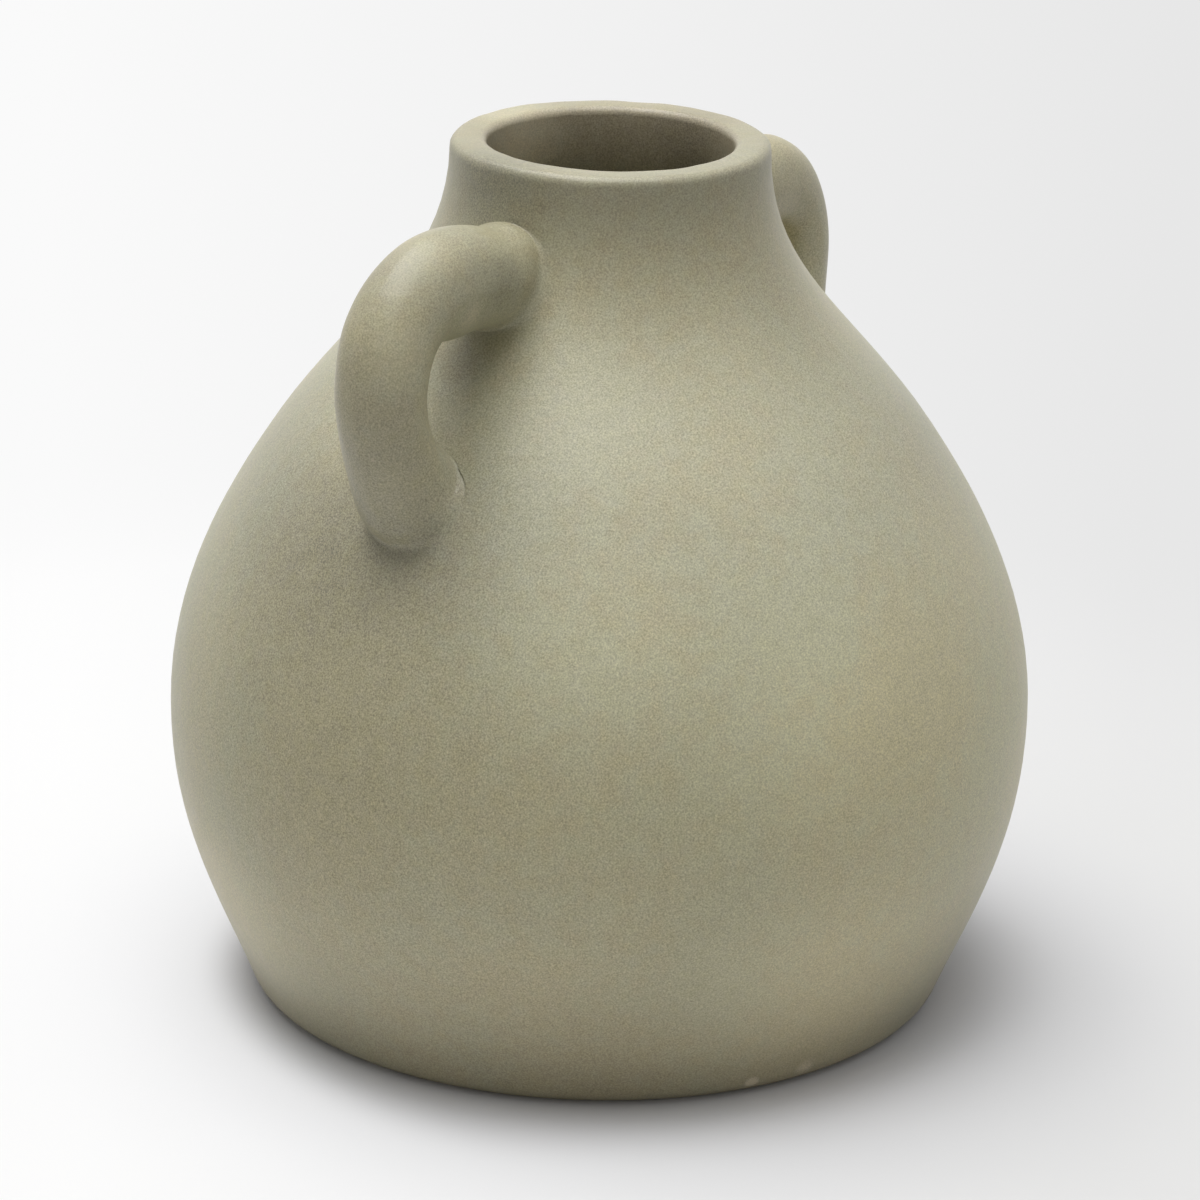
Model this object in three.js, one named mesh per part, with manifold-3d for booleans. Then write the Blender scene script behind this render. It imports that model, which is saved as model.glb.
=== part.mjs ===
// Two-handled ceramic milk jug: a round thrown body with a narrow neck and a thick flat lip,
// and two short pulled handles luted on between neck and shoulder.
// Millimetres, +Z up. The origin is the middle of the circle that the jug stands on.

import * as THREE from 'three';
import * as BufferGeometryUtils from 'three/addons/utils/BufferGeometryUtils.js';
import Module from 'manifold-3d';

const wasm = await Module();
wasm.setup();

// Outside of the body, from the foot up
const footRadius = 103.2;
const footLean = THREE.MathUtils.degToRad(19.1);
const footFullness = 27.1;
const footRounding = 8;
const bellyRadius = 128.3;
const bellyHeight = 88.7;
const bellyFullnessBelow = 40.4;
const bellyFullnessAbove = 37.3;
const shoulderRadius = 99.1;
const shoulderHeight = 169.3;
const shoulderLean = THREE.MathUtils.degToRad(33);
const shoulderFullnessBelow = 15.2;
const shoulderFullnessAbove = 42;
const neckFullness = 38.2;
const lipRadius = 46.7;
const jugHeight = 260;

// Wall, mouth and foot
const mouthRadius = 36;
const lipOuterRounding = 2.4;
const lipInnerRounding = 1.4;
const bellyWall = 7;
const floorThickness = 8.5;
const floorRounding = 16;
const footRingWidth = 13;
const footRecessDepth = 2.5;

// Handles: each is one pulled roll, drawn from the neck out, over and down to the shoulder
const handleTopBelowLip = 32.2;
const handleTopReach = 47.4;
const handlePastShoulder = 11.3;
const handleOuterBelowTop = 19.4;
const handleBendAbove = 17.3;
const handleBendBelow = 9;
const handleFootAboveShoulder = -0.1;
const handleFootReach = 4.4;
const handleFootLift = THREE.MathUtils.degToRad(27);
const handleThickness = 21.8;
const handleWidth = 24.2;
const handleTopThicker = 7;
const handleTopWider = 3.5;
const handleSquareness = 2.4;
const rootFlare = 3;
const rootFlareReach = 14;
const rootDepth = 5;
const lutingGap = 0.3;

// The right handle was set by hand: off opposite, slimmer, lower and closer in than the left one
const rightHandleTurn = THREE.MathUtils.degToRad(2);
const rightHandleThinner = 3;
const rightHandleDrop = 3.9;
const rightHandleCloser = 5.7;
const rightHandleShorterReach = 7.8;

// Facets
const aroundBody = 72;
const alongWall = 24;
const alongInnerWall = 16;
const roundingSteps = 4;
const aroundHandle = 24;
const alongHandle = 32;

const glaze = { roughness: 0.55, metalness: 0 };
const bodyFinish = new THREE.MeshStandardMaterial({ color: 0xa8a48a, ...glaze });
const leftHandleFinish = new THREE.MeshStandardMaterial({ color: 0xa39e84, ...glaze });
const rightHandleFinish = new THREE.MeshStandardMaterial({ color: 0x9f9b82, ...glaze });

// Wall curve in the plane of radius and height: three arcs that share their tangents
function makeWallCurve() {
  const foot = new THREE.Vector2(footRadius, 0);
  const belly = new THREE.Vector2(bellyRadius, bellyHeight);
  const shoulder = new THREE.Vector2(shoulderRadius, shoulderHeight);
  const lip = new THREE.Vector2(lipRadius, jugHeight - lipOuterRounding);
  const upFromFoot = new THREE.Vector2(Math.sin(footLean), Math.cos(footLean));
  const upFromShoulder = new THREE.Vector2(-Math.sin(shoulderLean), Math.cos(shoulderLean));

  const wall = new THREE.CurvePath();
  wall.add(new THREE.CubicBezierCurve(
    foot,
    foot.clone().addScaledVector(upFromFoot, footFullness),
    new THREE.Vector2(bellyRadius, bellyHeight - bellyFullnessBelow),
    belly,
  ));
  wall.add(new THREE.CubicBezierCurve(
    belly,
    new THREE.Vector2(bellyRadius, bellyHeight + bellyFullnessAbove),
    shoulder.clone().addScaledVector(upFromShoulder, -shoulderFullnessBelow),
    shoulder,
  ));
  wall.add(new THREE.CubicBezierCurve(
    shoulder,
    shoulder.clone().addScaledVector(upFromShoulder, shoulderFullnessAbove),
    new THREE.Vector2(lipRadius, lip.y - neckFullness),
    lip,
  ));
  return wall;
}

const wallCurve = makeWallCurve();

// Outward normal of the wall, which is level at the belly and at the lip
function wallNormal(along) {
  const tangent = wallCurve.getTangent(along);
  return new THREE.Vector2(tangent.y, -tangent.x);
}

// A point of the wall, moved inwards by depth
function wallPoint(along, depth) {
  return wallCurve.getPoint(along).addScaledVector(wallNormal(along), -depth);
}

// Halves a span of the wall curve until test(along) changes from false to true
function findAlong(test) {
  let low = 0;
  let high = 1;
  for (let step = 0; step < 40; step += 1) {
    const middle = (low + high) / 2;
    if (test(middle)) {
      high = middle;
    } else {
      low = middle;
    }
  }
  return high;
}

// The wall grows from its thickness at the belly to the thicker lip
function wallThickness(along) {
  const lipWall = lipRadius - mouthRadius;
  const height = wallCurve.getPoint(along).y;
  const rise = THREE.MathUtils.smoothstep(height, bellyHeight, jugHeight - lipOuterRounding);
  return THREE.MathUtils.lerp(bellyWall, lipWall, rise);
}

function arcPoints(centre, radius, startAngle, endAngle) {
  const points = [];
  for (let step = 0; step <= roundingSteps; step += 1) {
    const angle = THREE.MathUtils.lerp(startAngle, endAngle, step / roundingSteps);
    points.push(new THREE.Vector2(
      centre.x + radius * Math.cos(angle),
      centre.y + radius * Math.sin(angle),
    ));
  }
  return points;
}

// Rounding between a level floor and the wall: where it meets the wall, and its points
function roundFromFloor(level, depth, radius) {
  const meets = findAlong((along) => wallPoint(along, depth(along) + radius).y >= level + radius);
  const centre = wallPoint(meets, depth(meets) + radius);
  const normal = wallNormal(meets);
  const endAngle = Math.atan2(normal.y, normal.x);
  return { meets, points: arcPoints(centre, radius, -Math.PI / 2, endAngle) };
}

function wallRun(from, to, steps, depth) {
  const points = [];
  for (let step = 1; step <= steps; step += 1) {
    const along = THREE.MathUtils.lerp(from, to, step / steps);
    points.push(wallPoint(along, depth(along)));
  }
  return points;
}

function removeLoosePoints(points) {
  return points.filter((point, index) => index === 0 || point.distanceTo(points[index - 1]) > 0.01);
}

// Outside profile from the foot ring to the lip, moved outwards by clearance
function outsideProfile(clearance) {
  const depth = () => -clearance;
  const foot = roundFromFloor(-clearance, depth, footRounding + clearance);
  return [...foot.points, ...wallRun(foot.meets, 1, alongWall, depth)];
}

// Closed profile of the hollow body: recessed foot, outside, lip, inside, floor
function bodyProfile() {
  const ringInner = footRadius - footRounding - footRingWidth;
  const floorCorner = roundFromFloor(floorThickness, wallThickness, floorRounding);
  const outerLipCentre = new THREE.Vector2(lipRadius - lipOuterRounding, jugHeight - lipOuterRounding);
  const innerLipCentre = new THREE.Vector2(mouthRadius + lipInnerRounding, jugHeight - lipInnerRounding);
  const inside = [
    ...floorCorner.points,
    ...wallRun(floorCorner.meets, 1, alongInnerWall, wallThickness),
  ];
  return removeLoosePoints([
    new THREE.Vector2(0, footRecessDepth),
    new THREE.Vector2(ringInner - footRecessDepth, footRecessDepth),
    new THREE.Vector2(ringInner, 0),
    ...outsideProfile(0),
    ...arcPoints(outerLipCentre, lipOuterRounding, 0, Math.PI / 2),
    ...arcPoints(innerLipCentre, lipInnerRounding, Math.PI / 2, Math.PI),
    ...inside.reverse(),
    new THREE.Vector2(0, floorThickness),
  ]);
}

// Solids of revolution stand up along +Z
function revolve(profile) {
  const geometry = new THREE.LatheGeometry(profile, aroundBody);
  geometry.rotateX(Math.PI / 2);
  return geometry;
}

function toSolid(geometry) {
  const bare = geometry.clone();
  bare.deleteAttribute('normal');
  bare.deleteAttribute('uv');
  const merged = BufferGeometryUtils.mergeVertices(bare, 1e-3);
  const corners = merged.index.array;
  const faces = [];
  for (let i = 0; i < corners.length; i += 3) {
    const [a, b, c] = corners.slice(i, i + 3);
    if (a !== b && b !== c && c !== a) {
      faces.push(a, b, c);
    }
  }
  const mesh = new wasm.Mesh({
    numProp: 3,
    vertProperties: new Float32Array(merged.attributes.position.array),
    triVerts: new Uint32Array(faces),
  });
  return new wasm.Manifold(mesh);
}

function toGeometry(solid) {
  const mesh = solid.getMesh();
  const geometry = new THREE.BufferGeometry();
  geometry.setAttribute('position', new THREE.BufferAttribute(mesh.vertProperties, 3));
  geometry.setIndex(new THREE.BufferAttribute(mesh.triVerts, 1));
  geometry.computeVertexNormals();
  return geometry;
}

// The space that the body takes, filled in and a luting gap larger all over
function makeBodySpace() {
  const outside = outsideProfile(lutingGap);
  const top = outside[outside.length - 1];
  return toSolid(revolve([
    new THREE.Vector2(0, outside[0].y),
    ...outside,
    new THREE.Vector2(top.x, jugHeight + lutingGap),
    new THREE.Vector2(0, jugHeight + lutingGap),
  ]));
}

// Handle centre line in its own plane: x is the distance from the jug's axis, y the height
function makeHandlePath(hand) {
  const rootAt = (height) => {
    const along = findAlong((value) => wallCurve.getPoint(value).y >= height);
    return { point: wallCurve.getPoint(along), out: wallNormal(along) };
  };
  const topHeight = jugHeight - handleTopBelowLip - hand.drop;
  const top = rootAt(topHeight);
  const foot = rootAt(shoulderHeight + handleFootAboveShoulder - hand.drop);
  const footUp = foot.out.clone().rotateAround(new THREE.Vector2(), handleFootLift);
  const outermost = new THREE.Vector2(
    shoulderRadius + handlePastShoulder - hand.closer,
    topHeight - handleOuterBelowTop,
  );
  const path = new THREE.CurvePath();
  path.add(new THREE.LineCurve(
    top.point.clone().addScaledVector(top.out, -rootDepth),
    top.point,
  ));
  path.add(new THREE.CubicBezierCurve(
    top.point,
    top.point.clone().addScaledVector(top.out, handleTopReach - hand.shorterReach),
    new THREE.Vector2(outermost.x, outermost.y + handleBendAbove),
    outermost,
  ));
  path.add(new THREE.CubicBezierCurve(
    outermost,
    new THREE.Vector2(outermost.x, outermost.y - handleBendBelow),
    foot.point.clone().addScaledVector(footUp, handleFootReach),
    foot.point,
  ));
  path.add(new THREE.LineCurve(
    foot.point,
    foot.point.clone().addScaledVector(footUp, -rootDepth),
  ));
  return path;
}

// Growth of the section where the clay is worked down onto the wall
function flareAt(distanceFromEnd) {
  const fromWall = THREE.MathUtils.clamp(distanceFromEnd - rootDepth, 0, rootFlareReach);
  return rootFlare * (1 - fromWall / rootFlareReach) ** 2;
}

// A pulled roll is thickest where it leaves the neck and thins towards its foot
function taperAt(distanceFromTop, length) {
  const pulled = THREE.MathUtils.clamp(distanceFromTop - rootDepth, 0, length - 2 * rootDepth);
  return 1 - pulled / (length - 2 * rootDepth);
}

function squareCircle(angle) {
  const power = 2 / handleSquareness;
  const across = Math.cos(angle);
  const beside = Math.sin(angle);
  return {
    across: Math.sign(across) * Math.abs(across) ** power,
    beside: Math.sign(beside) * Math.abs(beside) ** power,
  };
}

// Rings of the soft rectangular section along the centre line, closed at both ends
function sweepHandle(path, thickness, width) {
  const length = path.getLength();
  const positions = [];
  const faces = [];
  for (let ring = 0; ring <= alongHandle; ring += 1) {
    const along = ring / alongHandle;
    const centre = path.getPoint(along);
    const tangent = path.getTangent(along);
    const flare = flareAt(along * length) + flareAt((1 - along) * length);
    const taper = taperAt(along * length, length);
    const halfThickness = (thickness + taper * handleTopThicker) / 2 + flare;
    const halfWidth = (width + taper * handleTopWider) / 2 + flare;
    for (let corner = 0; corner < aroundHandle; corner += 1) {
      const section = squareCircle((2 * Math.PI * corner) / aroundHandle);
      const across = section.across * halfThickness;
      const beside = section.beside * halfWidth;
      positions.push(centre.x + tangent.y * across, beside, centre.y - tangent.x * across);
      if (ring > 0) {
        const here = ring * aroundHandle + corner;
        const next = ring * aroundHandle + ((corner + 1) % aroundHandle);
        faces.push(here, here - aroundHandle, next);
        faces.push(next, here - aroundHandle, next - aroundHandle);
      }
    }
  }
  const firstCentre = positions.length / 3;
  const start = path.getPoint(0);
  const end = path.getPoint(1);
  positions.push(start.x, 0, start.y, end.x, 0, end.y);
  const lastRing = alongHandle * aroundHandle;
  for (let corner = 0; corner < aroundHandle; corner += 1) {
    const next = (corner + 1) % aroundHandle;
    faces.push(firstCentre, next, corner);
    faces.push(firstCentre + 1, lastRing + corner, lastRing + next);
  }
  const geometry = new THREE.BufferGeometry();
  geometry.setAttribute('position', new THREE.Float32BufferAttribute(positions, 3));
  geometry.setIndex(faces);
  return geometry;
}

// A handle seated on the wall: swept, turned to its side and trimmed to the body
function makeHandle(hand) {
  const path = makeHandlePath(hand);
  const thickness = handleThickness - hand.thinner;
  const geometry = sweepHandle(path, thickness, handleWidth - hand.thinner);
  geometry.rotateZ(hand.turn);
  return toGeometry(toSolid(geometry).subtract(bodySpace));
}

function addPiece(name, geometry, finish) {
  const mesh = new THREE.Mesh(geometry, finish);
  mesh.name = name;
  jug.add(mesh);
}

const bodySpace = makeBodySpace();
const jug = new THREE.Group();
addPiece('jug_body', toGeometry(toSolid(revolve(bodyProfile()))), bodyFinish);
addPiece(
  'handle_left',
  makeHandle({ turn: Math.PI, thinner: 0, drop: 0, closer: 0, shorterReach: 0 }),
  leftHandleFinish,
);
addPiece(
  'handle_right',
  makeHandle({
    turn: rightHandleTurn,
    thinner: rightHandleThinner,
    drop: rightHandleDrop,
    closer: rightHandleCloser,
    shorterReach: rightHandleShorterReach,
  }),
  rightHandleFinish,
);

export default jug;
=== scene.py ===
import math

import bpy
from mathutils import Euler, Matrix, Vector


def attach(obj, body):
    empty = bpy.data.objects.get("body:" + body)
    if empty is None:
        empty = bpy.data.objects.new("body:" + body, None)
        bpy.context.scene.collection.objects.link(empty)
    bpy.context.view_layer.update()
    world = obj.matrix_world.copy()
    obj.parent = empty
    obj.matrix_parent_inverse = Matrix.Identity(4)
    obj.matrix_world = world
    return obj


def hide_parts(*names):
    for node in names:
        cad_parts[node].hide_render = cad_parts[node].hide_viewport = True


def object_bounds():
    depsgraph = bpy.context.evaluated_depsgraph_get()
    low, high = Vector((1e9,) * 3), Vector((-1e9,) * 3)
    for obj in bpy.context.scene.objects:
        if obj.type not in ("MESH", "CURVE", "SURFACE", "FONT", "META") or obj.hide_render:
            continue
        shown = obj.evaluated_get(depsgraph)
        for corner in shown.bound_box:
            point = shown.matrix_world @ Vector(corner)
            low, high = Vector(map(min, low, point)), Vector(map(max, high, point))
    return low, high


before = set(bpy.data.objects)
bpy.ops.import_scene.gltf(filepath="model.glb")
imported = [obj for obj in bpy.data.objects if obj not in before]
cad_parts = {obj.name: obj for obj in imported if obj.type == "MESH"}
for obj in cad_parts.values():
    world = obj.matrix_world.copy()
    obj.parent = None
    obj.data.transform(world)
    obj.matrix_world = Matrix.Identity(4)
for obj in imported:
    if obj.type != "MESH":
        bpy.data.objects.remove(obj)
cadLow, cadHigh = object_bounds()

print("frame loaded, the jug is", round(cadHigh.z - cadLow.z, 4), "m tall")

tiny = 1e-9


# Small helpers for working as by hand

def clearSelection():
    if bpy.context.object and bpy.context.object.mode != "OBJECT":
        bpy.ops.object.mode_set(mode="OBJECT")
    bpy.ops.object.select_all(action="DESELECT")


def pickOnly(piece):
    clearSelection()
    piece.select_set(True)
    bpy.context.view_layer.objects.active = piece


def applyModifier(piece, kind, **settings):
    pickOnly(piece)
    bpy.ops.object.modifier_add(type=kind)
    modifier = piece.modifiers[-1]
    for name, value in settings.items():
        setattr(modifier, name, value)
    bpy.ops.object.modifier_apply(modifier=modifier.name)


def makeGroup(piece, name, numbers=None):
    # a vertex group with full weight on the given vertices, or on all
    if numbers is None:
        numbers = range(len(piece.data.vertices))
    piece.vertex_groups.new(name=name).add(numbers, 1, "REPLACE")


def strayFromPlan(piece, name, size, strength, group):
    # soft clouds push the surface in and out, as hand work strays
    clouds = bpy.data.textures.new(name, "CLOUDS")
    clouds.noise_scale = size
    clouds.noise_depth = 1
    applyModifier(piece, "DISPLACE", texture=clouds, texture_coords="LOCAL", strength=strength, mid_level=0.5,
                  vertex_group=group)


def bezierPoint(points, share):
    a, b, c, d = points
    rest = 1 - share
    return a * rest ** 3 + b * (3 * rest * rest * share) + c * (3 * rest * share * share) + d * share ** 3


def bezierWay(points, share):
    a, b, c, d = points
    rest = 1 - share
    way = (b - a) * (rest * rest) + (c - b) * (2 * rest * share) + (d - c) * (share * share)
    return way.normalized()


def softStep(value, low, high):
    share = min(max((value - low) / (high - low), 0), 1)
    return share * share * (3 - 2 * share)


# The jug's outline: distance from the axis, and height
jug = {
    "height": cadHigh.z,
    "footRadius": 0.1032,
    "footLean": math.radians(19.1),
    "footFullness": 0.0271,
    "footRounding": 0.008,
    "bellyRadius": 0.1283,
    "bellyHeight": 0.0887,
    "bellyFullnessBelow": 0.0404,
    "bellyFullnessAbove": 0.0373,
    "shoulderRadius": 0.0991,
    "shoulderHeight": 0.1693,
    "shoulderLean": math.radians(33),
    "shoulderFullnessBelow": 0.0152,
    "shoulderFullnessAbove": 0.042,
    "neckFullness": 0.0382,
    "lipRadius": 0.0467,
    "mouthRadius": 0.036,
    "lipOuterRounding": 0.0028,
    "lipInnerRounding": 0.0024,
    "wall": 0.007,
    "floor": 0.0085,
    "floorRounding": 0.016,
    "floorPoints": (0.66, 0.33, 0),          # as a share of the flat floor's radius
    "footRingWidth": 0.013,
    "footRingFlat": 0.006,
    "recess": 0.0025,
    "recessPoints": (0, 0.35, 0.7, 0.93),    # as a share of the ring's inner radius
    "recessEdge": ((0.0022, 0.8), (0.0012, 0.35)),    # how far inside the ring, and share of the recess there
    "wallSteps": 54,
    "insideSteps": 26,
    "turns": 160,              # faces round the body
    "weld": 0.00005,
    "wobble": 0.0008,          # how far the thrown wall strays, from side to side
    "wobbleSize": 0.07,
    "wobbleHeights": (0.006, 0.05),          # none below the first height, and all above the second
    "lipWobble": 0.0006,
    "lipWobbleSize": 0.014,
    "lipWobbleDepths": (0.012, 0.004),       # the same, as depths below the lip
}


def wallArcs():
    foot = Vector((jug["footRadius"], 0))
    belly = Vector((jug["bellyRadius"], jug["bellyHeight"]))
    shoulder = Vector((jug["shoulderRadius"], jug["shoulderHeight"]))
    lip = Vector((jug["lipRadius"], jug["height"] - jug["lipOuterRounding"]))
    footWay = Vector((math.sin(jug["footLean"]), math.cos(jug["footLean"])))
    shoulderWay = Vector((-math.sin(jug["shoulderLean"]), math.cos(jug["shoulderLean"])))
    up = Vector((0, 1))
    return [
        (foot, foot + footWay * jug["footFullness"], belly - up * jug["bellyFullnessBelow"], belly),
        (belly, belly + up * jug["bellyFullnessAbove"],
         shoulder - shoulderWay * jug["shoulderFullnessBelow"], shoulder),
        (shoulder, shoulder + shoulderWay * jug["shoulderFullnessAbove"],
         lip - up * jug["neckFullness"], lip),
    ]


arcs = wallArcs()
lipShare = len(arcs)


def wallAt(share):
    # the point and the way out of the wall: share runs from 0 at the foot to the lip, 1 for each arc
    number = min(int(share), lipShare - 1)
    way = bezierWay(arcs[number], share - number)
    return bezierPoint(arcs[number], share - number), Vector((way.y, -way.x))


def wallInside(share, depth):
    point, out = wallAt(share)
    return point - out * depth


def shareWhere(reached):
    # halves the wall until it finds where something is reached
    low, high = 0.0, float(lipShare)
    for _ in range(40):
        middle = (low + high) / 2
        if reached(middle):
            high = middle
        else:
            low = middle
    return high


def wallThickness(share):
    height = wallAt(share)[0].y
    rim = jug["lipRadius"] - jug["mouthRadius"]
    grown = softStep(height, jug["bellyHeight"], jug["height"] - jug["lipOuterRounding"])
    return jug["wall"] + (rim - jug["wall"]) * grown


def roundOff(centre, radius, startAngle, endAngle, steps):
    angles = [startAngle + (endAngle - startAngle) * step / steps for step in range(steps + 1)]
    return [centre + Vector((math.cos(angle), math.sin(angle))) * radius for angle in angles]


def roundFromLevel(level, depthAt, radius, steps):
    # the rounding between something level and the wall, at a given depth in it
    share = shareWhere(lambda tried: wallInside(tried, depthAt(tried) + radius).y >= level + radius)
    centre = wallInside(share, depthAt(share) + radius)
    out = wallAt(share)[1]
    return share, roundOff(centre, radius, -math.pi / 2, math.atan2(out.y, out.x), steps)


def jugOutline():
    quarter = math.pi / 2
    height, recess = jug["height"], jug["recess"]
    outer, inner = jug["lipOuterRounding"], jug["lipInnerRounding"]
    footShare, footArc = roundFromLevel(0, lambda share: 0, jug["footRounding"], steps=5)
    floorShare, floorArc = roundFromLevel(jug["floor"], wallThickness, jug["floorRounding"], steps=6)
    ring = footArc[0].x - jug["footRingWidth"]
    # underside
    points = [Vector((ring * share, recess)) for share in jug["recessPoints"]]
    points += [Vector((ring - inset, recess * share)) for inset, share in jug["recessEdge"]]
    points += [Vector((ring, 0)), Vector((ring + jug["footRingFlat"], 0))]
    points += footArc
    # outside, up to the lip
    steps = jug["wallSteps"]
    points += [wallAt(footShare + (lipShare - footShare) * step / steps)[0] for step in range(1, steps + 1)]
    points += roundOff(Vector((jug["lipRadius"] - outer, height - outer)), outer, 0, quarter, steps=5)[1:]
    # inside, down to the floor
    points += roundOff(Vector((jug["mouthRadius"] + inner, height - inner)), inner, quarter, math.pi, steps=4)
    steps = jug["insideSteps"]
    for step in range(1, steps):
        share = lipShare - (lipShare - floorShare) * step / steps
        points.append(wallInside(share, wallThickness(share)))
    points += floorArc[::-1]
    points += [Vector((floorArc[0].x * share, jug["floor"])) for share in jug["floorPoints"]]
    return points


def makeShell():
    # one point is drawn along the outline by extrusion, then the line is spun round the axis
    clearSelection()
    outline = jugOutline()
    bpy.ops.mesh.primitive_plane_add(size=0.01)
    shell = bpy.context.object
    shell.name = "jugShell"
    bpy.ops.object.mode_set(mode="EDIT")
    bpy.ops.mesh.select_all(action="SELECT")
    bpy.ops.mesh.merge(type="CENTER")
    bpy.ops.transform.translate(value=(outline[0].x, 0, outline[0].y))
    for here, there in zip(outline, outline[1:]):
        step = there - here
        bpy.ops.mesh.extrude_region_move(TRANSFORM_OT_translate={"value": (step.x, 0, step.y)})
    bpy.ops.mesh.select_all(action="SELECT")
    bpy.ops.mesh.spin(steps=jug["turns"], angle=2 * math.pi, center=(0, 0, 0), axis=(0, 0, 1))
    bpy.ops.mesh.select_all(action="SELECT")
    bpy.ops.mesh.remove_doubles(threshold=jug["weld"])
    bpy.ops.mesh.normals_make_consistent(inside=False)
    bpy.ops.object.mode_set(mode="OBJECT")
    bpy.ops.object.shade_smooth()
    return shell


def weighByHeight(piece, group, low, high):
    weights = piece.vertex_groups.new(name=group)
    for vertex in piece.data.vertices:
        weights.add([vertex.index], softStep(vertex.co.z, low, high), "REPLACE")


shell = makeShell()
weighByHeight(shell, "thrown", *jug["wobbleHeights"])
strayFromPlan(shell, "thrownWall", jug["wobbleSize"], jug["wobble"], "thrown")
weighByHeight(shell, "lip", *(jug["height"] - depth for depth in jug["lipWobbleDepths"]))
strayFromPlan(shell, "cutLip", jug["lipWobbleSize"], jug["lipWobble"], "lip")
print("body spun:", len(shell.data.polygons), "faces")


def makeGuide():
    # the outside of the wall alone, which the handles' roots follow
    pickOnly(shell)
    bpy.ops.object.duplicate()
    guide = bpy.context.object
    bpy.ops.object.mode_set(mode="EDIT")
    bpy.ops.mesh.select_mode(type="FACE")
    bpy.ops.mesh.select_all(action="DESELECT")
    bpy.ops.object.mode_set(mode="OBJECT")
    for face in guide.data.polygons:
        face.select = face.normal.x * face.center.x + face.normal.y * face.center.y < 0
    bpy.ops.object.mode_set(mode="EDIT")
    bpy.ops.mesh.delete(type="FACE")
    bpy.ops.mesh.select_mode(type="VERT")
    bpy.ops.object.mode_set(mode="OBJECT")
    return guide


wallGuide = makeGuide()


# Handles: a rounded section drawn ring by ring from the neck, out, over and down to the shoulder
handle = {
    "topBelowLip": 0.0322,
    "topReach": 0.0474,
    "pastShoulder": 0.0113,
    "outerBelowTop": 0.0194,
    "bendAbove": 0.0173,
    "bendBelow": 0.009,
    "footAboveShoulder": 0.0005,
    "footReach": 0.0044,
    "footLift": math.radians(27),
    "thickness": 0.0226,
    "width": 0.025,
    "topThicker": 0.0064,      # the roll thins from the neck to its foot
    "topWider": 0.003,
    "cornerRound": 0.96,       # share of half the width
    "cornerSteps": 4,
    "topFillet": (0.0042, 0.0052),           # clay worked onto the wall: how far out, how far up the roll
    "footFillet": (0.0026, 0.0030),
    "footWipe": (0.0070, 0.0120),            # clay wiped from the foot onto the wall, on one side
    "bendFill": (0.004, 0.037, 0.014),       # clay in the crook: how much, how far from the neck, spread
    "armFill": (0.0027, 0.023, 0.011),
    "topBump": (0.0032, 0.0045, 0.0055),     # clay left standing where the roll joins the neck
    "footFill": (0.0100, 0.0060, 0.0125),    # clay between foot and wall: how much, how far from the foot
    "footSide": (0.0024, 0.002, 0.015),      # the foot pressed wider
    "pathSteps": 300,
    "ringStep": 0.0036,
    "ringsFrom": 0.0072,       # even rings begin this far from the wall
    "rootRings": [             # distance from the wall, and how closely the ring follows the wall's curve
        (-0.0030, 1), (-0.0004, 1), (0.00002, 1), (0.00015, 1), (0.0005, 1), (0.0012, 0.95), (0.0024, 0.85),
        (0.0040, 0.6), (0.0060, 0.4),
    ],
    "looseRing": (0.0085, 0.15),
    "looseReach": 0.0018,      # even rings this near to the loose ring's distance follow as it does
    "buriedRings": 2,
    "buriedWider": 0.0008,
    "unpressedRings": 7,       # these keep the shape of the root
    "pressed": (0.0032, 0.0014),             # other clay nearer to the wall than this is pressed onto it
    "seamReach": 0.0048,       # within this distance of the wall the two surfaces shade as one
    "skin": 0.0003,            # clay smeared on the wall where the roll would run into it
    "leastSkin": 0.0001,       # and what the last smoothing leaves of it
    "strokes": 3,              # how often the seam is smoothed over
    "wobble": 0.0008,
    "wobbleSize": 0.026,
    "wobbleFrom": (0.002, 0.014),            # none within the first distance of the wall, all past the second
}
handles = {
    "handleLeft": {"turn": math.pi, "thinner": 0.0, "drop": 0.0, "closer": 0.0, "shorterReach": 0.0,
                   "wipeSide": 1},
    "handleRight": {"turn": math.radians(2), "thinner": 0.003, "drop": 0.0039, "closer": 0.0057,
                    "shorterReach": 0.0078, "wipeSide": -1},
}
nearRings = handle["rootRings"] + [handle["looseRing"]]


def handlePath(choice):
    topHeight = jug["height"] - handle["topBelowLip"] - choice["drop"]
    footHeight = jug["shoulderHeight"] + handle["footAboveShoulder"] - choice["drop"]
    top, topOut = wallAt(shareWhere(lambda share: wallAt(share)[0].y >= topHeight))
    foot, footOut = wallAt(shareWhere(lambda share: wallAt(share)[0].y >= footHeight))
    footOut = Matrix.Rotation(handle["footLift"], 2) @ footOut
    outermost = Vector((jug["shoulderRadius"] + handle["pastShoulder"] - choice["closer"],
                        topHeight - handle["outerBelowTop"]))
    up = Vector((0, 1))
    reach = handle["topReach"] - choice["shorterReach"]
    over = (top, top + topOut * reach, outermost + up * handle["bendAbove"], outermost)
    down = (outermost, outermost - up * handle["bendBelow"], foot + footOut * handle["footReach"], foot)
    return over, down


def evenRings(path):
    # centre, direction and distance from the neck, at even steps
    steps = handle["pathSteps"]
    shares = [step / steps for step in range(steps + 1)]
    fine = [(bezierPoint(arc, share), bezierWay(arc, share)) for arc in path for share in shares]
    walked = [0.0]
    for (here, _), (there, _) in zip(fine, fine[1:]):
        walked.append(walked[-1] + (there - here).length)
    count = round(walked[-1] / handle["ringStep"])
    rings = []
    for step in range(count + 1):
        goal = walked[-1] * step / count
        number = max(i for i, distance in enumerate(walked) if distance <= goal + tiny)
        rings.append((*fine[number], goal))
    return rings, walked[-1]


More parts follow.
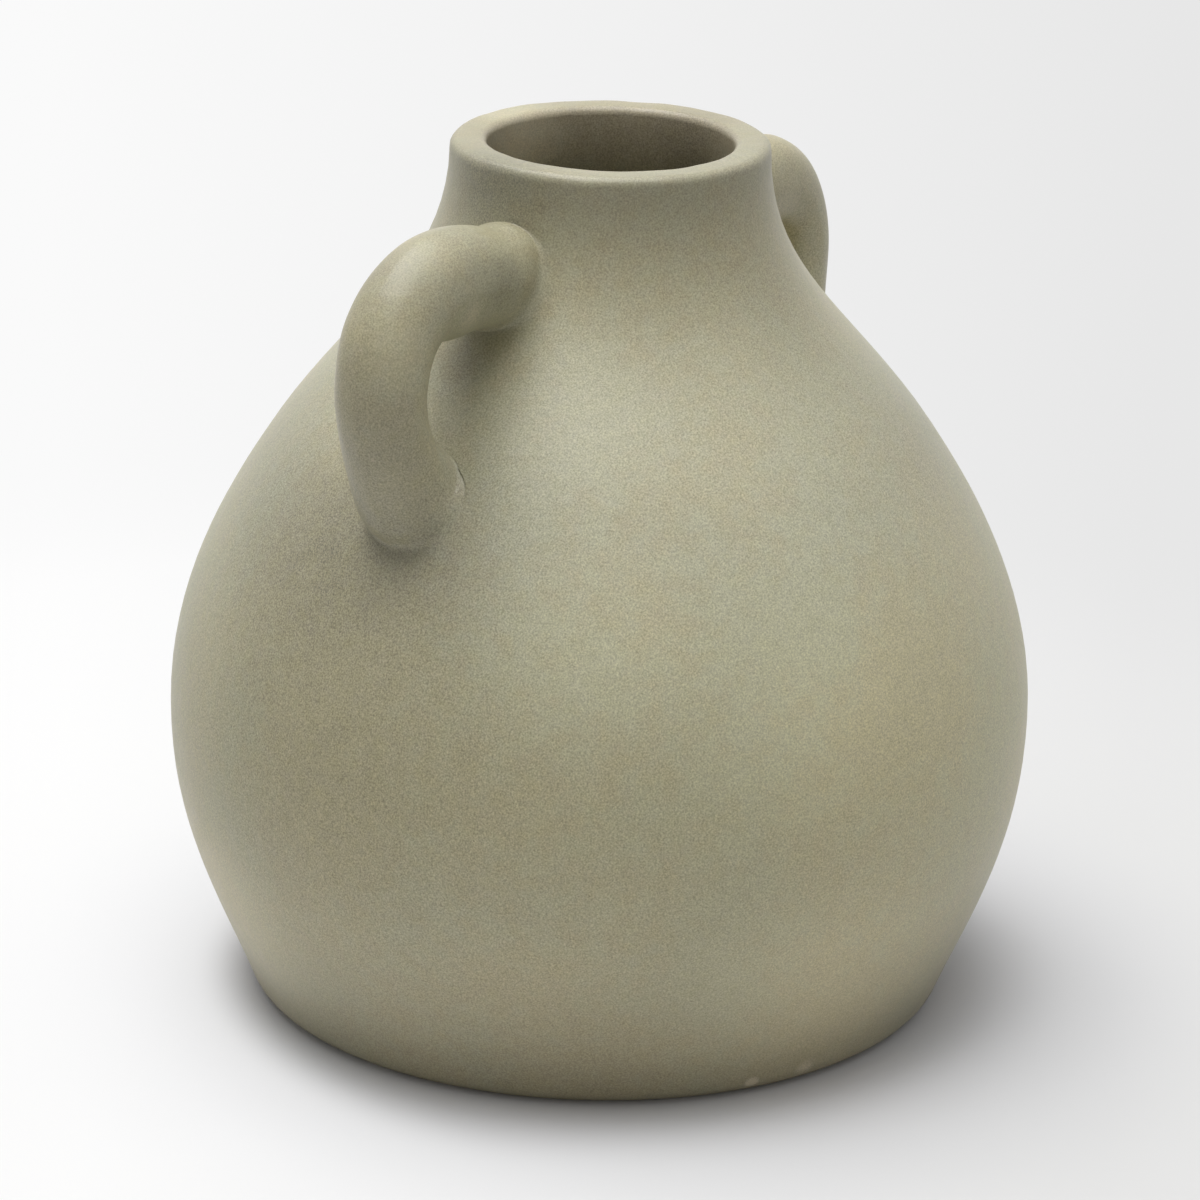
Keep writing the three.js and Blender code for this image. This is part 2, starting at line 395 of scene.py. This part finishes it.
def growthAt(distance, fillet):
    # how much wider the section is near the wall, as a quarter of an ellipse
    out, up = fillet
    left = min(max(1 - distance / up, 0), 1)
    return out * (1 - math.sqrt(1 - left * left))


def swellAt(distance, swell):
    amount, place, spread = swell
    return amount * math.exp(-((distance - place) / spread) ** 2)


def sectionAt(choice, distance, length):
    # half the thickness, half the width, and how far the middle moves into the crook and to the wiped side
    toFoot = length - distance
    taper = min(max(1 - distance / length, 0), 1)
    fill = swellAt(distance, handle["bendFill"]) + swellAt(distance, handle["armFill"])
    fill += swellAt(toFoot, handle["footFill"])
    bump = swellAt(distance, handle["topBump"])
    side = swellAt(toFoot, handle["footSide"])
    flare = growthAt(distance, handle["topFillet"]) + growthAt(toFoot, handle["footFillet"])
    if distance < 0 or toFoot < 0:
        flare += handle["buriedWider"]
    wipe = growthAt(toFoot, handle["footWipe"]) / 2
    thickness = handle["thickness"] - choice["thinner"] + taper * handle["topThicker"] + fill + bump
    width = handle["width"] - choice["thinner"] + taper * handle["topWider"]
    return (thickness / 2 + flare, width / 2 + flare + side + wipe,
            (fill - bump) / 2, wipe * choice["wipeSide"])


def sectionMiddle(choice, ring, length):
    centre, way, distance = ring
    crook, side = sectionAt(choice, distance, length)[2:]
    middle = centre + Vector((way.y, -way.x)) * crook
    return Vector((middle.x, side, middle.y))


def markRing(piece, distance):
    # the picked ring joins the vertex group for its distance from the wall, if there is one
    for number, (level, closeness) in enumerate(nearRings):
        reach = handle["looseReach"] if number == len(nearRings) - 1 else 0
        if abs(distance - level) < reach + tiny:
            piece.vertex_groups.active_index = number
            bpy.context.scene.tool_settings.vertex_group_weight = closeness
            bpy.ops.object.vertex_group_assign()
            return


def startRoll(choice, ring, length):
    # the first section: a rectangle with its corners rounded off
    way = ring[1]
    thick, wide = sectionAt(choice, ring[2], length)[:2]
    clearSelection()
    bpy.ops.mesh.primitive_plane_add(size=2, location=sectionMiddle(choice, ring, length),
                                     rotation=(0, math.atan2(way.x, way.y), 0))
    piece = bpy.context.object
    piece.scale = (thick, wide, 1)
    bpy.ops.object.transform_apply(location=True, rotation=True, scale=True)
    bpy.ops.object.mode_set(mode="EDIT")
    bpy.ops.mesh.select_all(action="SELECT")
    bpy.ops.mesh.bevel(affect="VERTICES", offset=wide * handle["cornerRound"], segments=handle["cornerSteps"],
                       profile=0.5)
    bpy.ops.mesh.select_all(action="SELECT")
    return piece


def extrudeRing(choice, ringHere, ringThere, length):
    here, there = sectionMiddle(choice, ringHere, length), sectionMiddle(choice, ringThere, length)
    hereWay, thereWay = ringHere[1], ringThere[1]
    turn = math.atan2(thereWay.x, thereWay.y) - math.atan2(hereWay.x, hereWay.y)
    before, after = sectionAt(choice, ringHere[2], length), sectionAt(choice, ringThere[2], length)
    inPlane, beside = after[0] / before[0], after[1] / before[1]
    bpy.ops.mesh.extrude_region_move(TRANSFORM_OT_translate={"value": there - here})
    if abs(turn) > tiny:
        # the operator turns the other way without a window
        bpy.ops.transform.rotate(value=-turn, orient_axis="Y", center_override=there)
    bpy.ops.transform.resize(value=(inPlane, beside, inPlane), center_override=there)


def drawRoll(choice):
    between, length = evenRings(handlePath(choice))
    first, last = between[0], between[-1]
    roots = [distance for distance, _ in handle["rootRings"]]
    rings = [(first[0] + first[1] * distance, first[1], distance) for distance in roots]
    rings += [ring for ring in between if handle["ringsFrom"] < ring[2] < length - handle["ringsFrom"]]
    rings += [(last[0] - last[1] * distance, last[1], length - distance) for distance in roots[::-1]]

    piece = startRoll(choice, rings[0], length)
    for number in range(len(nearRings)):
        piece.vertex_groups.new(name=f"follow{number}")
    markRing(piece, rings[0][2])
    for ringHere, ringThere in zip(rings, rings[1:]):
        extrudeRing(choice, ringHere, ringThere, length)
        bpy.ops.object.vertex_group_remove_from(use_all_groups=True)
        markRing(piece, min(ringThere[2], length - ringThere[2]))
    bpy.ops.mesh.select_all(action="SELECT")
    bpy.ops.mesh.normals_make_consistent(inside=False)
    bpy.ops.object.mode_set(mode="OBJECT")
    piece.rotation_euler.z = choice["turn"]
    bpy.ops.object.transform_apply(location=True, rotation=True, scale=True)
    return piece


def layOnWall(piece, group, mode, distance):
    applyModifier(piece, "SHRINKWRAP", target=wallGuide, wrap_method="NEAREST_SURFACEPOINT", wrap_mode=mode,
                  offset=distance, vertex_group=group)


def weighByNearness(piece, group, target, none, full):
    # no weight at the first distance from the target, and full weight at the second
    applyModifier(piece, "VERTEX_WEIGHT_PROXIMITY", vertex_group=group, target=target,
                  proximity_mode="GEOMETRY", proximity_geometry={"FACE"}, falloff_type="SMOOTH",
                  min_dist=none, max_dist=full)


def makeHandle(name):
    piece = drawRoll(handles[name])
    piece.name = name
    for number, (distance, _) in enumerate(nearRings):
        layOnWall(piece, f"follow{number}", "ABOVE_SURFACE", distance)
    # the rings nearest to the wall are in the groups with the lowest numbers, and these two hold the rest
    for group, skipped in (("above", handle["buriedRings"]), ("pressed", handle["unpressedRings"])):
        makeGroup(piece, group, [vertex.index for vertex in piece.data.vertices
                                 if not any(member.group < skipped for member in vertex.groups)])
    layOnWall(piece, "above", "OUTSIDE", handle["skin"])
    applyModifier(piece, "SUBSURF", levels=2, render_levels=2)
    makeGroup(piece, "free")
    weighByNearness(piece, "free", shell, *handle["wobbleFrom"])
    strayFromPlan(piece, name + "Roll", handle["wobbleSize"], handle["wobble"], "free")
    pickOnly(piece)
    bpy.ops.object.shade_smooth()

    # clay is pressed onto the wall and smoothed over, and near the wall it shades as the wall does
    makeGroup(piece, "seam")
    weighByNearness(piece, "seam", shell, handle["seamReach"], 0)
    weighByNearness(piece, "pressed", wallGuide, *handle["pressed"])
    layOnWall(piece, "pressed", "ABOVE_SURFACE", handle["skin"])
    applyModifier(piece, "SMOOTH", factor=0.5, iterations=handle["strokes"], vertex_group="seam")
    layOnWall(piece, "above", "OUTSIDE", handle["leastSkin"])
    applyModifier(piece, "DATA_TRANSFER", object=shell, use_loop_data=True,
                  data_types_loops={"CUSTOM_NORMAL"}, loop_mapping="POLYINTERP_NEAREST", vertex_group="seam")
    return piece


handlePieces = {}
for name in handles:
    handlePieces[name] = makeHandle(name)
    print(name, "drawn:", len(handlePieces[name].data.polygons), "faces")
pickOnly(wallGuide)
bpy.ops.object.delete()


# Glaze: one look on the jug's own coordinates, so that it runs on from piece to piece
glaze = {
    "tintsWithShade": [                 # share of the height, and colour there: glaze tone, browner toward the foot, with painted shade darkening the foot, the neck under the lip and the lip's top
        (0, (0.290, 0.260, 0.167)),
        (0.045, (0.328, 0.296, 0.192)),
        (0.08, (0.376, 0.340, 0.221)),
        (0.2, (0.488, 0.446, 0.290)),
        (0.36, (0.530, 0.491, 0.315)),
        (0.54, (0.533, 0.501, 0.338)),
        (0.64, (0.512, 0.486, 0.343)),
        (0.73, (0.482, 0.453, 0.315)),
        (0.85, (0.418, 0.387, 0.258)),
        (0.91, (0.395, 0.363, 0.238)),
        (0.955, (0.365, 0.335, 0.222)),
        (0.98, (0.338, 0.310, 0.207)),
        (1, (0.325, 0.299, 0.204)),
    ],
    "sage": (0.976, 1.004, 1.010),           # multiplies the tint where the glaze is thicker
    "taupe": (1.022, 0.998, 0.958),
    "cloudSize": 0.055,
    "cloudDrift": 3.2,         # how strongly the clouds pull to sage or taupe
    "fleckSize": 0.007,
    "fleckDrift": 2.6,
    "fleckLight": 0.17,
    "warmFleckSize": 0.0045,   # flecks that lean to yellow or blue
    "warmFlecks": 0.15,
    "grainSize": 0.0005,
    "grain": 1.1,
    "pits": 0.011,             # distance between places for pits
    "pitChance": (0.82, 0.84),               # a place with a chance number above this has a pit
    "pitSize": 0.03,           # as a share of the distance between places
    "pitLight": -0.6,
    "rimPlace": 1.5,           # as a share of the pit's size, as is the next
    "rimWidth": 0.6,
    "rimLight": 0.15,
    "mouth": (1.02, 0.99, 1.05),             # multiplies the colour inside the neck
    "mouthRadius": (0.0362, 0.0385),
    "clay": (0.60, 0.53, 0.38),
    "clayHeight": (-0.0002, 0.0004),         # bare clay up to this height, with an edge this ragged
    "clayRagged": 0.0012,
    "recessInset": (0.018, 0.016),           # and in the recess, this far inside the foot's edge
    "recessHeight": (0.0035, 0.0045),
    "thinGrain": (0.3, 0.7, 0.5, 1.4),       # from and to which grain the clay shows less or more
    "roughness": (0.34, 0.46),
    "roughnessNoise": (0.35, 0.65),
    "clayRoughness": 0.85,
    "reliefSize": 0.004,
    "relief": 0.3,
    "reliefDepth": 0.0004,
    "grainRelief": 0.35,
    "sagePlaces": [            # place, reach and amount, less than nothing for taupe
        ((-0.040, -0.088, 0.176), 0.060, 0.55),
        ((-0.061, -0.040, 0.203), 0.030, 0.35),
        ((-0.040, -0.107, 0.148), 0.030, 0.6),
        ((-0.018, -0.122, 0.118), 0.035, -0.6),
        ((-0.104, 0.070, 0.115), 0.035, 0.3),
        ((-0.120, -0.010, 0.090), 0.070, -0.35),
        ((-0.093, -0.081, 0.115), 0.030, -0.3),
        ((-0.104, -0.060, 0.010), 0.075, -0.35),
        ((-0.114, -0.004, 0.190), 0.045, -0.5),
        ((-0.108, 0.010, 0.140), 0.085, -0.7),
        ((-0.086, -0.094, 0.076), 0.050, -0.45),
        ((-0.115, -0.011, 0.140), 0.035, -0.5),
        ((-0.082, -0.069, 0.156), 0.030, -0.5),
    ],
    "paintedLightPlaces": [           # painted light and shade: place, reach and how much lighter or darker the glaze is painted there
        ((-0.120, 0.020, 0.115), 0.125, -0.25),
        ((-0.065, 0.075, 0.165), 0.070, -0.20),
        ((-0.080, 0.098, 0.095), 0.060, -0.16),
        ((0.045, -0.080, 0.180), 0.055, -0.14),
        ((-0.100, -0.002, 0.165), 0.050, -0.16),
        ((-0.020, -0.122, 0.115), 0.100, 0.10),
        ((-0.040, -0.102, 0.030), 0.065, 0.28),
        ((-0.106, 0.055, 0.032), 0.045, 0.20),
        ((-0.070, -0.0138, 0.2335), 0.013, -0.22),
        ((-0.112, -0.009, 0.181), 0.016, 0.14),
        ((-0.115, -0.010, 0.224), 0.016, 0.24),
        ((-0.106, 0.003, 0.243), 0.018, -0.20),
        ((-0.068, 0.005, 0.2075), 0.016, -0.28),
        ((-0.045, 0.010, 0.253), 0.032, -0.28),
        ((0.005, 0.036, 0.250), 0.024, 0.60),
        ((0.036, -0.006, 0.248), 0.022, -0.30),
        ((-0.102, 0.036, 0.153), 0.050, -0.18),
        ((0.022, -0.098, 0.172), 0.080, -0.13),
        ((0.006, -0.060, 0.222), 0.040, -0.12),
        ((-0.080, -0.002, 0.250), 0.016, -0.12),
        ((-0.096, -0.060, 0.142), 0.045, 0.12),
        ((-0.055, -0.108, 0.122), 0.045, 0.13),
    ],
    "clayPlaces": [            # where the clay shows pale through the glaze
        ((-0.0512, -0.0911, 0.0042), 0.0030, 1.9),
        ((-0.0353, -0.0991, 0.0054), 0.0042, 0.8),
        ((-0.0846, -0.0111, 0.2280), 0.0065, 0.5),
        ((-0.1199, -0.0005, 0.2241), 0.0009, 1.2),
        ((-0.1191, -0.0042, 0.1926), 0.0009, 1.2),
        ((0.0827, -0.0077, 0.2245), 0.010, 0.3),
    ],
}


def addNode(tree, kind, inputs, **settings):
    node = tree.nodes.new("ShaderNode" + kind)
    for name, value in settings.items():
        setattr(node, name, value)
    for name, value in inputs.items():
        if isinstance(value, bpy.types.NodeSocket):
            tree.links.new(value, node.inputs[name])
        else:
            node.inputs[name].default_value = value
    return node


def mathOf(tree, operation, *values, clamp=False):
    return addNode(tree, "Math", dict(enumerate(values)), operation=operation, use_clamp=clamp).outputs[0]


def vectorMathOf(tree, operation, *values, output="Value"):
    return addNode(tree, "VectorMath", dict(enumerate(values)), operation=operation).outputs[output]


def ranged(tree, value, fromLow, fromHigh, toLow, toHigh):
    node = addNode(tree, "MapRange", {"Value": value, "From Min": fromLow, "From Max": fromHigh,
                                      "To Min": toLow, "To Max": toHigh}, interpolation_type="SMOOTHSTEP")
    return node.outputs[0]


def blended(tree, share, first, second, blend="MIX"):
    # the mix node has sockets of one name for each kind of value: these are the ones for colours
    colors = {number: value if isinstance(value, bpy.types.NodeSocket) else (*value, 1)
              for number, value in ((6, first), (7, second))}
    return addNode(tree, "Mix", {0: share, **colors}, data_type="RGBA", blend_type=blend).outputs[2]


def multiplied(tree, first, second):
    return blended(tree, 1.0, first, second, "MULTIPLY")


def colorOf(tree, red, green, blue):
    return addNode(tree, "CombineXYZ", {"X": red, "Y": green, "Z": blue}).outputs[0]


def noiseOf(tree, place, size, detail, roughness=0.5):
    node = addNode(tree, "TexNoise", {"Vector": place, "Scale": 1 / size, "Detail": detail,
                                      "Roughness": roughness})
    return node.outputs["Factor"] if "Factor" in node.outputs else node.outputs["Fac"]


def swung(tree, noise, amount, base):
    # something moved up and down by a noise round its middle
    return mathOf(tree, "MULTIPLY_ADD", mathOf(tree, "SUBTRACT", noise, 0.5), amount, base)


def placesOf(tree, coordinates, places):
    # the sum of soft round places
    total = 0.0
    for place, reach, amount in places:
        away = vectorMathOf(tree, "DISTANCE", coordinates, place)
        total = mathOf(tree, "ADD", total, ranged(tree, away, 0, reach, amount, 0))
    return total


def rampOf(tree, share, stops):
    ramp = addNode(tree, "ValToRGB", {"Fac": share})
    elements = ramp.color_ramp.elements
    while len(elements) < len(stops):
        elements.new(0.5)
    for element, (position, color) in zip(elements, stops):
        element.position = position
        element.color = (*color, 1)
    return ramp.outputs["Color"]


def glazeTintAndShade(tree, place, height, flecks, shift):
    # by height, with painted shade towards the foot, under the lip and on the lip's top, drifting to sage and
    # taupe in large clouds, small flecks and single places
    tint = rampOf(tree, mathOf(tree, "DIVIDE", height, jug["height"]), glaze["tintsWithShade"])
    drift = swung(tree, noiseOf(tree, place, glaze["cloudSize"], 1), glaze["cloudDrift"], 0.5 + shift)
    drift = swung(tree, flecks, glaze["fleckDrift"], drift)
    drift = mathOf(tree, "ADD", drift, placesOf(tree, place, glaze["sagePlaces"]), clamp=True)
    return multiplied(tree, tint, blended(tree, drift, glaze["taupe"], glaze["sage"]))


def paintedLightAndGrain(tree, place, flecks, grain):
    # what lightens and darkens: places of painted light and shade, fine grain, flecks, and a few pits with a
    # dark middle and a pale rim
    light = mathOf(tree, "ADD", placesOf(tree, place, glaze["paintedLightPlaces"]), 1.0)
    light = swung(tree, grain, glaze["grain"], light)
    light = swung(tree, flecks, glaze["fleckLight"], light)
    cells = addNode(tree, "TexVoronoi", {"Vector": place, "Scale": 1 / glaze["pits"]})
    chance = addNode(tree, "SeparateXYZ", {0: cells.outputs["Color"]}).outputs["X"]
    chosen = ranged(tree, chance, *glaze["pitChance"], 0, 1)
    away, size = cells.outputs["Distance"], glaze["pitSize"]
    fromRim = mathOf(tree, "ABSOLUTE", mathOf(tree, "SUBTRACT", away, size * glaze["rimPlace"]))
    pit = mathOf(tree, "MULTIPLY", ranged(tree, away, 0, size, 1, 0), chosen)
    rim = mathOf(tree, "MULTIPLY", ranged(tree, fromRim, 0, size * glaze["rimWidth"], 1, 0), chosen)
    light = mathOf(tree, "MULTIPLY_ADD", pit, glaze["pitLight"], light)
    light = mathOf(tree, "MULTIPLY_ADD", rim, glaze["rimLight"], light)
    warm = noiseOf(tree, place, glaze["warmFleckSize"], 2, 0.6)
    return colorOf(tree, light, light, swung(tree, warm, glaze["warmFlecks"], light))


def bareClay(tree, place, height, out, flecks, grain):
    # how bare the clay is: fully under the foot, and partly where the glaze is thin
    ragged = mathOf(tree, "MULTIPLY", flecks, glaze["clayRagged"])
    ring = ranged(tree, mathOf(tree, "SUBTRACT", height, ragged), *glaze["clayHeight"], 1, 0)
    inset = (jug["footRadius"] - width for width in glaze["recessInset"])
    recess = mathOf(tree, "MULTIPLY", ranged(tree, out, *inset, 1, 0),
                    ranged(tree, height, *glaze["recessHeight"], 1, 0))
    thin = mathOf(tree, "MULTIPLY", placesOf(tree, place, glaze["clayPlaces"]),
                  ranged(tree, grain, *glaze["thinGrain"]))
    return mathOf(tree, "MAXIMUM", mathOf(tree, "MAXIMUM", ring, recess), thin, clamp=True)


def makeGlaze(name, shift):
    material = bpy.data.materials.new(name)
    material.use_nodes = True
    tree = material.node_tree
    shader = tree.nodes["Principled BSDF"]
    place = addNode(tree, "TexCoord", {}).outputs["Object"]
    height = addNode(tree, "SeparateXYZ", {0: place}).outputs["Z"]
    out = vectorMathOf(tree, "LENGTH", vectorMathOf(tree, "MULTIPLY", place, (1, 1, 0), output="Vector"))
    flecks = noiseOf(tree, place, glaze["fleckSize"], 2, 0.6)
    grain = noiseOf(tree, place, glaze["grainSize"], 1)

    color = glazeTintAndShade(tree, place, height, flecks, shift)
    # painted light and shade by place, with grain, flecks and pits
    color = multiplied(tree, color, paintedLightAndGrain(tree, place, flecks, grain))
    inMouth = ranged(tree, out, *glaze["mouthRadius"], 1, 0)
    color = blended(tree, inMouth, color, multiplied(tree, color, glaze["mouth"]))
    bare = bareClay(tree, place, height, out, flecks, grain)
    tree.links.new(blended(tree, bare, color, glaze["clay"]), shader.inputs["Base Color"])

    mixed = mathOf(tree, "ADD", mathOf(tree, "MULTIPLY", flecks, 0.5), mathOf(tree, "MULTIPLY", grain, 0.5))
    rough = ranged(tree, mixed, *glaze["roughnessNoise"], *glaze["roughness"])
    rough = mathOf(tree, "MAXIMUM", rough, mathOf(tree, "MULTIPLY", bare, glaze["clayRoughness"]))
    tree.links.new(rough, shader.inputs["Roughness"])

    relief = noiseOf(tree, place, glaze["reliefSize"], 1)
    relief = mathOf(tree, "MULTIPLY_ADD", grain, glaze["grainRelief"], relief)
    bump = addNode(tree, "Bump", {"Height": relief, "Strength": glaze["relief"],
                                  "Distance": glaze["reliefDepth"]})
    tree.links.new(bump.outputs["Normal"], shader.inputs["Normal"])
    return material


pieces = {"jugShell": shell, **handlePieces}
finishes = {                   # node that the piece replaces, slot, and how far its glaze leans to sage
    "jugShell": ("jug_body", "body_glaze", 0.0),
    "handleLeft": ("handle_left", "handle_left_glaze", 0.0),
    "handleRight": ("handle_right", "handle_right_glaze", -0.1),
}
for name, piece in pieces.items():
    node, slot, shift = finishes[name]
    piece.data.materials.clear()
    piece.data.materials.append(makeGlaze(name + "Glaze", shift))
    piece.vertex_groups.clear()
    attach(piece, "root")
    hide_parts(node)
print("glaze given to", len(pieces), "pieces")


# Camera, floor and lamps
view = {
    "distance": 1.534,
    "around": math.radians(-145.5),
    "height": 0.65517,
    "turn": math.radians(-55.4815),
    "down": 0.336808,
    "roll": 0.019444,
    "lens": 163.434,
    "sensor": 36,
}
room = {
    "floorSize": 12.0,
    "paper": 0.84,             # how pale the floor is in the middle of the picture
    "seenPaper": 0.946,        # as a share of that, where it is seen and not only lit by
    "shades": (0.955, 0.88, 0.80),           # backdrop from the left over the middle to the right
    "spread": 0.11,            # sideways reach of those shades, as a share of the distance
    "standBack": 1.45,
    "shadowLift": (0.60, 0.28),      # share of the plain backdrop glowing over the lit floor, left and right: painted light that lifts the jug's shadow
    "shadowLiftSides": (-0.85, -0.15),             # what counts as left and right there, as a share of the spread
    "shadowLiftFrom": (0.100, 0.112),              # distance from the axis where this painted light begins and where it is full, left and right
    "shadowLiftTo": (0.122, 0.150),                # where it is full, left and right
    "nearTint": (0.99, 0.995, 1.045),        # takes the jug's warm glow out of its shadow
    "nearReach": (0.10, 0.22),
    "blendOut": (0.2, 0.55),   # distance from the jug where the lit floor passes into the plain backdrop
    "fadeOut": (1.4, 2.2),     # and where that turns white, as the surroundings are
    "dim": 0.24,               # strength of the surroundings as light
    "aim": (0, 0, 0.13),
}
lamps = {                      # degrees round from the front, degrees up, distance, size and watts
    "overhead": (-135, 85, 1.6, 1.6, 18.6),
    "frontLeft": (-45, 72, 1.4, 0.7, 3.4),
    "backLeft": (-135, 72, 1.4, 0.7, 4.6),
    "leftRim": (-135, 45, 1.5, 0.8, 2.2),
    "frontRight": (45, 72, 1.4, 0.7, 1.6),
    "right": (90, 45, 1.5, 0.8, 1.3),
}


def makeCamera():
    clearSelection()
    bpy.ops.object.camera_add()
    camera = bpy.context.object
    camera.location = (view["distance"] * math.cos(view["around"]),
                       view["distance"] * math.sin(view["around"]), view["height"])
    aim = Euler((math.pi / 2 - view["down"], 0, view["turn"])).to_matrix()
    camera.rotation_euler = (aim @ Matrix.Rotation(view["roll"], 3, "Z")).to_euler()
    camera.data.lens = view["lens"]
    camera.data.sensor_width = view["sensor"]
    bpy.context.scene.camera = camera


def seenDirectly(tree):
    rays = addNode(tree, "LightPath", {}).outputs
    seen = mathOf(tree, "MAXIMUM", rays["Is Camera Ray"], rays["Is Glossy Ray"])
    return mathOf(tree, "MAXIMUM", seen, rays["Is Transmission Ray"])


def sidewaysSlant(tree, place):
    # how far right of the jug's axis a point of the floor is, as a share of its distance in the picture
    right = (-math.sin(view["around"]), math.cos(view["around"]), 0)
    away = (-math.cos(view["around"]), -math.sin(view["around"]), 0)
    depth = mathOf(tree, "ADD", vectorMathOf(tree, "DOT_PRODUCT", place, away), room["standBack"])
    return mathOf(tree, "DIVIDE", vectorMathOf(tree, "DOT_PRODUCT", place, right), depth)


def backdropShade(tree, slant, reach):
    stops = list(zip((0, 0.5, 1), ((shade,) * 3 for shade in room["shades"])))
    shade = rampOf(tree, mathOf(tree, "MULTIPLY_ADD", slant, 0.5 / room["spread"], 0.5), stops)
    return blended(tree, ranged(tree, reach, *room["fadeOut"], 0, 1), shade, (1, 1, 1))


def shadowLiftShare(tree, slant, reach):
    # painted light: how much of the plain backdrop glows over the lit floor to lift the jug's shadow, less
    # near the jug and to the right
    spread = room["spread"]
    sides = [side * spread for side in room["shadowLiftSides"]]
    begin, full = (ranged(tree, slant, *sides, *room[name]) for name in ("shadowLiftFrom", "shadowLiftTo"))
    share = ranged(tree, slant, -spread, spread, *room["shadowLift"])
    return mathOf(tree, "MULTIPLY", share, ranged(tree, reach, begin, full, 0, 1))


def makeFloor():
    # paper that is a little darker to the right, lit and shaded near the jug and plain far away
    clearSelection()
    bpy.ops.mesh.primitive_plane_add(size=room["floorSize"])
    floor = bpy.context.object
    floor.name = "floor"
    material = bpy.data.materials.new("floorPaper")
    material.use_nodes = True
    tree = material.node_tree
    shader = tree.nodes["Principled BSDF"]
    place = addNode(tree, "TexCoord", {}).outputs["Object"]
    reach = vectorMathOf(tree, "LENGTH", place)
    slant = sidewaysSlant(tree, place)
    shade = backdropShade(tree, slant, reach)
    seen = seenDirectly(tree)

    paper = multiplied(tree, shade, (room["paper"] / room["shades"][1],) * 3)
    tint = blended(tree, ranged(tree, reach, *room["nearReach"], 0, 1), room["nearTint"], (1, 1, 1))
    paper = multiplied(tree, paper, tint)
    level = ranged(tree, seen, 0, 1, 1, room["seenPaper"])
    tree.links.new(multiplied(tree, paper, colorOf(tree, level, level, level)), shader.inputs["Base Color"])
    shader.inputs["Roughness"].default_value = 1
    shader.inputs["Specular IOR Level"].default_value = 0

    plain = addNode(tree, "Emission", {"Color": shade, "Strength": ranged(tree, seen, 0, 1, room["dim"], 1)})
    # painted light over the jug's shadow on the floor, seen only directly
    shadowLift = mathOf(tree, "MULTIPLY", shadowLiftShare(tree, slant, reach), seen)
    share = mathOf(tree, "MAXIMUM", shadowLift, ranged(tree, reach, *room["blendOut"], 0, 1))
    mixed = addNode(tree, "MixShader", {0: share, 1: shader.outputs[0], 2: plain.outputs[0]})
    tree.links.new(mixed.outputs[0], tree.nodes["Material Output"].inputs["Surface"])
    floor.data.materials.append(material)


def makeLamps():
    aim = Vector(room["aim"])
    for name, (around, up, distance, size, watts) in lamps.items():
        turn, rise = view["around"] + math.radians(around), math.radians(up)
        out = Vector((math.cos(turn) * math.cos(rise), math.sin(turn) * math.cos(rise), math.sin(rise)))
        clearSelection()
        bpy.ops.object.light_add(type="AREA", location=aim + out * distance,
                                 rotation=out.to_track_quat("Z", "Y").to_euler())
        lamp = bpy.context.object
        lamp.name = name
        lamp.data.shape = "SQUARE"
        lamp.data.size = size
        lamp.data.energy = watts


def makeSurroundings():
    # white where they are seen, and much weaker as light
    world = bpy.data.worlds.new("studio")
    bpy.context.scene.world = world
    world.use_nodes = True
    tree = world.node_tree
    background = tree.nodes["Background"]
    background.inputs["Color"].default_value = (1, 1, 1, 1)
    tree.links.new(ranged(tree, seenDirectly(tree), 0, 1, room["dim"], 1), background.inputs["Strength"])


makeFloor()
makeLamps()
makeSurroundings()
makeCamera()
bpy.context.scene.view_settings.view_transform = "Standard"
print("floor, lamps and camera set")
